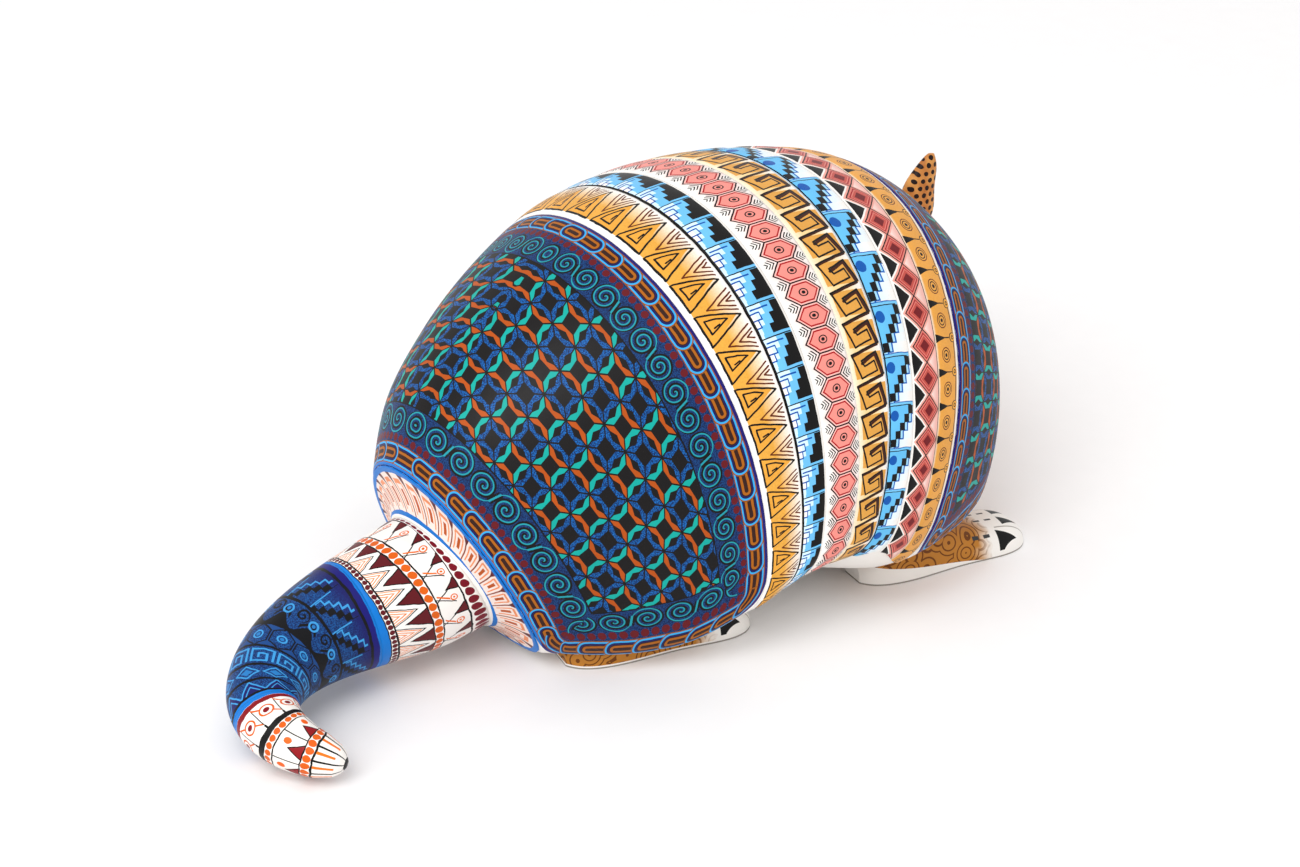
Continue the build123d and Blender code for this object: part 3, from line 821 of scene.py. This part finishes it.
def paint_tail_middle():
    p, u, v = ring_start("paint_tail_middle", "1C4B82")
    fine = noise(2400, 1)
    p.colour = p.mixed(tone("14356B"), tone("2C6DA6"), ramp(Num(fine.outputs["Fac"]), 0.38, 0.62))
    line, dark = "56A9DA", "15161F"
    # stepped frets
    x, w = fract(u * 9), ramp(v, 0.292, 0.405)
    inside = near(v, 0.349, 0.0565)
    p.lay("2B2C78", both(inside, ramp(w, 0.6, 0.0)))
    step = mad(floor(x * 5.5), -0.17, 1.0)
    p.lay(dark, both(inside, near(w, step, 0.11), under(x, 0.93)))
    zig_a, zig_b = mad(floor((x - 0.03) * 5.5), -0.17, 0.70), mad(floor((x + 0.03) * 5.5), -0.17, 0.66)
    p.lay(line, both(inside, over(w, zig_b), under(w, zig_a), over(w, 0.06)))
    p.lay(line, both(inside, near(x, 0.965, 0.018), over(w, 0.3)))
    # waves that end in curls
    x, w = fract(u * 9 + 0.3), ramp(v, 0.412, 0.482)
    inside = near(v, 0.447, 0.035)
    r = length((x - 0.30) * 9.5, (w - 0.30) * 8.6)
    turn = calc("ARCTAN2", (w - 0.30) * 8.6, (x - 0.30) * 9.5) * (0.5 / math.pi)
    p.lay(dark, both(inside, under(size(fract(r / 1.5 - turn) - 0.5), 0.22), under(r, 2.3)))
    wave = w - mad(calc("SINE", x * (2 * math.pi)), 0.22, 0.72)
    p.lay(dark, both(inside, over(wave, 0)))
    p.lay(dark, both(inside, near(wave, -0.16, 0.07), over(x, 0.42)))
    eye = length((x - 0.76) * 9.5, (w - 0.32) * 8.6)
    p.lay(line, both(inside, near(eye, 1.35, 0.30)))
    p.lay("3D8FC6", both(inside, under(eye, 0.55)))
    # hexagons
    x, w = fract(u * 10), ramp(v, 0.488, 0.552)
    inside = near(v, 0.52, 0.032)
    hx, hy = size(x - 0.5) * 2, size(w - 0.5) * 2
    hexa = high(hx, mad(hx, 0.5, hy * 0.86))
    p.lay(dark, both(inside, near(hexa, 0.90, 0.06)))
    p.lay("2A5F98", both(inside, over(hexa, 0.96)))
    eye = length(hx, hy)
    p.lay(line, both(inside, near(eye, 0.36, 0.07)))
    p.lay("3D8FC6", both(inside, under(eye, 0.17)))
    # key
    x, w = fract(u * 9), ramp(v, 0.560, 0.612)
    inside = near(v, 0.586, 0.026)
    keys = ((0.05, 0.95, 0.10, 0.19), (0.05, 0.14, 0.10, 0.90), (0.05, 0.72, 0.81, 0.90), (0.63, 0.72, 0.36, 0.90),
            (0.32, 0.72, 0.36, 0.45), (0.32, 0.41, 0.36, 0.66), (0.86, 0.95, 0.10, 0.90))
    p.lay(line, both(inside, either(*[box(x, w, *k) for k in keys])))
    # diamonds, then triangles
    x, w = fract(u * 8), ramp(v, 0.620, 0.660)
    inside = near(v, 0.640, 0.020)
    gem = mad(size(x - 0.5), 2.0, size(w - 0.5) * 2)
    p.lay(line, both(inside, near(gem, 0.85, 0.10)))
    p.lay("3D8FC6", both(inside, under(gem, 0.45)))
    x, w = fract(u * 8), ramp(v, 0.668, 0.702)
    inside = near(v, 0.685, 0.017)
    tri = w - size(x - 0.5) * 2
    p.lay("2B2C78", both(inside, over(tri, 0)))
    p.lay(line, both(inside, either(near(tri, 0.0, 0.08), near(tri, 0.42, 0.06))))
    for middle, half in ((0.287, 0.0052), (0.4085, 0.0045), (0.485, 0.0035), (0.556, 0.0035), (0.616, 0.0035),
                         (0.664, 0.0035), (0.7055, 0.0035)):
        p.lay(dark, near(v, middle, half))
    p.lay("2A2588", under(v, 0.282))
    p.lay(CERULEAN, either(under(v, 0.262), over(v, 0.709)))
    return p.done(rough=0.44)


def paint_tail_tip():
    p, u, v = ring_start("paint_tail_tip", WHITE)
    # squares with an eye
    x, w = fract(u * 8), ramp(v, 0.742, 0.815)
    inside = near(v, 0.779, 0.037)
    p.lay(BLACK, near(v, 0.829, 0.016))
    p.lay(BLACK, both(inside, near(x, 0.0, 0.045)))
    p.lay(WHITE, both(near(v, 0.79, 0.035), near(x, 0.52, 0.45)))
    eye = length((x - 0.52) * 6.5, (w - 0.5) * 8.5)
    p.lay("E07A22", both(inside, near(eye, 2.0, 0.28)))
    p.lay("E07A22", both(inside, near(mad(x, -0.8, w), 0.08, 0.045), over(eye, 2.0)))
    p.lay("9B1C2E", both(inside, under(eye, 0.95)))
    p.lay("9B1C2E", near(v, 0.737, 0.0085))
    p.lay(WHITE, near(v, 0.8545, 0.0125))
    p.lay(BLACK, near(v, 0.8425, 0.0022))
    dots(p, u, v, 22, 0.8545, 0.0085, "E07A22")
    p.lay(BLACK, near(v, 0.8665, 0.0018))
    x, w = fract(u * 6), ramp(v, 0.868, 0.935)
    inside = near(v, 0.9015, 0.033)
    p.lay(BLACK, both(inside, near(x, 0.5, 0.022)))
    oval = length((x - 0.22) * 8.0, (w - 0.32) * 6.0)
    p.lay("EE7F1A", both(inside, under(oval, 0.95)))
    tri = (1 - w) * 0.55 + size(size(x - 0.5) - 0.5)
    p.lay(BLACK, both(inside, under(tri, 0.33)))
    p.lay("A3222F", both(inside, under(tri, 0.28)))
    dots(p, u, v, 18, 0.944, 0.0075, "E07A22")
    p.lay(BLACK, near(v, 0.9345, 0.0018))
    p.lay(BLACK, near(v, 0.9535, 0.0018))
    x = fract(u * 9)
    end = over(v, 0.955)
    p.lay("EE8F2C", both(end, near(x, 0.30, 0.10), under(v, 0.984)))
    p.lay(BLACK, both(end, near(x, 0.75, 0.07)))
    p.lay(BLACK, over(v, 0.997))
    p.lay(CERULEAN, under(v, 0.728))
    return p.done(rough=0.40)


def paint_collar():
    """Ring between the rear shield and the tail: blue edges, and leaning feathers on maroon."""
    p = Paint("paint_collar", "F6E9E2")
    wx, wy = wobble(0.02)
    u, v = attr("u"), attr("v") + wy
    x = fract(mad(u, 30, v * 0.8) + wx)
    dx = size(x - 0.5)
    p.lay("A0522A", over(dx, 0.455))
    p.lay(MAROON, over(dx, mad(v, 0.55, 0.26)))
    p.lay("EFA678", both(near(dx, 0.27, 0.045), over(v, 0.30), under(v, 0.80)))
    p.lay("EFA678", both(near(v, 0.28, 0.05), under(dx, 0.27)))
    p.lay("C8702C", both(under(dx, 0.10), over(v, 0.42), under(v, 0.72)))
    p.lay(CERULEAN, either(under(v, 0.12), over(v, 0.87)))
    return p.done(rough=0.42)


def collar():
    c = np.linspace(-1, 3, 181)[:-1]
    edge = body_point(-4.0, c)
    away = edge - ROOT
    away -= (away @ TAIL_OUT)[:, None] * TAIL_OUT
    away /= np.linalg.norm(away, axis=1, keepdims=True)
    root = ROOT + away * (TAIL_R + 0.15)
    up = np.cross(TAIL_OUT, [1.0, 0, 0])
    angle = np.unwrap(np.arctan2(away @ up, away[:, 0])) / (2 * math.pi)
    t = np.linspace(0, 1, 24)[:, None, None]
    low_ring = edge[None] * (1 - t) + root[None] * t
    rise = TAIL_OUT * (0.5 + (COLLAR - 0.7) * t ** 2.2)
    wrap = np.arange(181) % 180
    outer = (low_ring + rise)[:, wrap]
    inner = (low_ring - TAIL_OUT * 1.0)[:, wrap]
    u = angle[wrap].copy()
    u[-1] = u[-2] + (u[-2] - u[-3])
    u = np.broadcast_to(u[None], outer.shape[:2])
    v = np.broadcast_to(t[:, :, 0], outer.shape[:2])
    return slab("collar", outer, inner, {"u": u, "v": v}, paint_collar(), "figure")


collar()
for name, start, end, rows, painter in (("tail_root", 0.0, 0.255, 40, paint_tail_root),
                                        ("tail_middle", 0.255, 0.715, 70, paint_tail_middle),
                                        ("tail_tip", 0.715, 1.0, 50, paint_tail_tip)):
    made, places = tail_rings(start, end, rows)
    tail_piece = tube(name, made, places, painter(), "tail")
    if name == "tail_root":
        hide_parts("tail")

# ------------------------------------------------------------------ bare wood, ears, head, feet
def paint_wood(name):
    p = Paint(name, "C99A63")
    node = noise(160, 6, (1, 1, 0.12))
    rings = fract(mad(Num(node.outputs["Fac"]), 9, 0))
    p.colour = p.mixed(tone("B98550"), tone("DDB684"), ramp(size(rings - 0.5), 0.0, 0.5))
    return p.done(rough=0.72, grain=0.3, coat=0.0, bump=0.2)


def speckles(pitch, randomness):
    """Distance from the nearest of many scattered points, as a share of their pitch in mm."""
    node = TREE.nodes.new("ShaderNodeTexVoronoi")
    node.inputs["Scale"].default_value = 1 / (pitch * MM)
    node.inputs["Randomness"].default_value = randomness
    TREE.links.new(place(), node.inputs["Vector"])
    return Num(node.outputs["Distance"])


def ochre_swirls(p, patch, ochre, brown, half, strength):
    """An ochre cloud where patch is 1, with brown rings round scattered points."""
    rings = fract(speckles(8.5, 0.8) * 5.2)
    p.lay(ochre, patch * 0.95)
    p.lay(brown, both(patch, under(size(rings - 0.5), half)) * strength)


def position():
    parts = TREE.nodes.new("ShaderNodeSeparateXYZ")
    TREE.links.new(place(), parts.inputs[0])
    return [Num(parts.outputs[i]) * (1 / MM) for i in range(3)]


SPOT = "3A211B"
SNOUT = (0.966, -0.259)             # the direction in which the snout points, 75 degrees round
EYE = (99.25, 66.8)                 # the eyes: mm along that direction, and height


def paint_ear():
    """Tawny, with rows of dark spots."""
    p = Paint("paint_ear", "C9822F")
    x, y, z = position()
    node = noise(120, 3)
    p.colour = p.mixed(tone("B8743C"), tone("E2B070"), ramp(Num(node.outputs["Fac"]), 0.35, 0.65))
    wx, wy = wobble(0.5)
    row = z * (1 / 2.9)
    across = (y * 1.04 + wx) * (1 / 3.2) + floor(row) * 0.5
    p.lay(SPOT, under(length((fract(across) - 0.5) * 3.2, (fract(row) - 0.5) * 2.9 + wy), 0.98))
    return p.done(rough=0.42)


def paint_head():
    """Golden crown with dark spots, fading to a cream snout."""
    p = Paint("paint_head", "F2E8DA")
    x, y, z = position()
    node = noise(45, 4)
    cloud = Num(node.outputs["Fac"])
    fade = ramp(x + cloud * 30, 92, 60)
    p.lay(p.mixed(tone("B9702A"), tone("E2A55C"), ramp(cloud, 0.35, 0.65)), fade)
    p.lay(SPOT, both(under(speckles(4.6, 0.5), 0.33), over(fade, 0.35)))
    along = mad(x, SNOUT[0], y * SNOUT[1])
    eye = length(along - EYE[0], z - EYE[1])
    p.lay("F3E3C4", under(eye, 3.3))
    p.lay(BLACK, either(under(eye, 2.2), near(eye, 3.3, 0.25)))
    # the mouth slopes with the snout, whose very tip is dark
    p.lay("3A2A26", both(near(mad(along, 0.436, z), 102.0, 0.35), over(along, 112)))
    p.lay("3A2A26", over(x, 97.0))
    return p.done(rough=0.42)


def paint_leg(name, heel, degrees, front):
    """White foot with an ochre cloud of swirls over the heel, black claws and small ticks, with painted shade in the
    notch between the toes and along the bottom edge.
    """
    p = Paint(name, WHITE)
    x, y, z = position()
    a = math.radians(degrees)
    fx, fy = math.sin(a), -math.cos(a)
    hx, hy = heel[0] - CENTRE[0], heel[1] - CENTRE[1]
    along = mad(x, fx, mad(y, fy, -(hx * fx + hy * fy)))
    side = size(mad(x, -fy, mad(y, fx, hx * fy - hy * fx)))
    cloud = noise(150, 3)
    edge = along + Num(cloud.outputs["Fac"]) * 9
    patch = both(ramp(edge, 58, 51), over(z, mad(along, -0.15, 8.0) if front else 1.2))
    ochre_swirls(p, patch, "C48B2B", "80501A", 0.15, 0.9)
    for toe, tip in ((10.9, 65.0), (3.6, 70.0)):
        claw = both(over(along, tip - 8.5), under(size(side - toe), mad(along, -0.30, tip * 0.30)), over(z, 2.5))
        p.lay(BLACK, claw)
        for behind in (13.0, 18.0):
            p.lay("5A5A5C", both(near(along, tip - behind, 1.4), near(side, toe - 1.0, 0.5), over(z, 4)))
    # painted shade: a grey line for the shadow in the notch between the two toe lobes
    p.lay("B9B4AE", both(near(side, 7.3, 0.25), over(along, 57)))
    # painted shade: the lowest 0.6 mm of the foot, where it meets the floor, is coloured a darker grey
    p.lay("A8A39C", under(z, 0.6))
    return p.done(rough=0.40, mottle=0.05)


def dress(node, material):
    nodes[node].data.materials.clear()
    nodes[node].data.materials.append(material)


wood = paint_wood("bare_copal")
for name in nodes:
    if "dowel" in name:
        dress(name, wood)
ear_paint = paint_ear()
dress("ear_right", ear_paint)
dress("ear_left", ear_paint)
dress("head", paint_head())
LEGS = {"front": ((-57, -80), -11.5), "rear": ((-33, 38), -15)}
for place_name, (heel, degrees) in LEGS.items():
    for sign, word in ((1, "right"), (-1, "left")):
        node = "leg_%s_%s" % (place_name, word)
        dress(node, paint_leg("paint_" + node, (sign * heel[0], heel[1]), sign * degrees, place_name == "front"))


def paint_belly():
    """White lacquered body, with the ochre cloud that spreads from the front feet."""
    p = Paint("paint_belly", WHITE)
    x, y, z = position()
    cloud = noise(120, 3)
    reach = length(mad(size(x), 0.5, -33.0), (y + 96.0) * 0.42) + mad(Num(cloud.outputs["Fac"]), 16, -8)
    patch = both(ramp(reach, 20, 15), over(z, 2.5), under(z, 45))
    ochre_swirls(p, patch, "CC922E", "8A5A1C", 0.13, 0.8)
    return p.done(rough=0.40, mottle=0.05)


dress("body_block", paint_belly())

def tenon():
    """The tail's square tenon, seen when the tail is pulled out."""
    half = 10.0
    middle = TAIL_LINE[0]
    y0, y1 = middle[1] - 30.0, middle[1] + 7.0
    corners = [(-half, -half), (half, -half), (half, half), (-half, half)]
    rows = []
    for y, shrink in ((y0, 0.92), (y0 + 1.5, 1.0), (y1, 1.0)):
        rows.append([(x * shrink, y, middle[2] + z * shrink) for x, z in corners])
    points = np.array(rows).reshape(-1, 3)
    faces = []
    for r in range(2):
        for k in range(4):
            a, b = r * 4 + k, r * 4 + (k + 1) % 4
            faces.append((a, a + 4, b + 4, b))
    faces += [(0, 1, 2, 3), (11, 10, 9, 8)]
    return add_mesh("tail_tenon", points, faces, 0, {}, wood, "tail")


tenon()

# ------------------------------------------------------------------ floor, light, camera
floor_mesh = bpy.data.meshes.new("floor")
floor_mesh.from_pydata([(-3, -3, 0), (3, -3, 0), (3, 3, 0), (-3, 3, 0)], [], [(0, 1, 2, 3)])
floor_piece = bpy.data.objects.new("floor", floor_mesh)
scene.collection.objects.link(floor_piece)
floor_paint = Paint("floor_white", "F7F6F6")
floor_mesh.materials.append(floor_paint.done(rough=0.7, mottle=0.01, bump=0.0, coat=0.0))

world = bpy.data.worlds.new("studio")
world.use_nodes = True
world.node_tree.nodes["Background"].inputs["Color"].default_value = (1, 1, 1, 1)
world.node_tree.nodes["Background"].inputs["Strength"].default_value = 0.97
scene.world = world


def area(name, where, aim, power, width):
    light = bpy.data.lights.new(name, "AREA")
    light.energy, light.size = power, width
    lamp = bpy.data.objects.new(name, light)
    lamp.location = where
    lamp.rotation_mode = "QUATERNION"
    lamp.rotation_quaternion = (Vector(aim) - Vector(where)).to_track_quat("-Z", "Y")
    scene.collection.objects.link(lamp)


area("key", (-0.5, 0.95, 1.25), (0, 0, 0.05), 9.5, 0.9)
area("fill", (-0.2, 1.4, 0.8), (0, 0, 0.05), 4.0, 1.0)

camera = bpy.data.cameras.new("camera")
camera.lens, camera.sensor_width = 83.08, 36.0
camera.clip_start, camera.clip_end = 0.05, 20
cam = bpy.data.objects.new("camera", camera)
azimuth, elevation = math.radians(230.19), math.radians(27.456)
cam.location = [(a - b) * MM for a, b in zip((-743.2, 588.9, 556.2), CENTRE)]
level = math.cos(elevation)
back = Vector((math.sin(azimuth) * level, -math.cos(azimuth) * level, math.sin(elevation)))
cam.rotation_mode = "QUATERNION"
cam.rotation_quaternion = (-back).to_track_quat("-Z", "Y")
scene.collection.objects.link(cam)
scene.camera = cam
scene.view_settings.view_transform = "Standard"
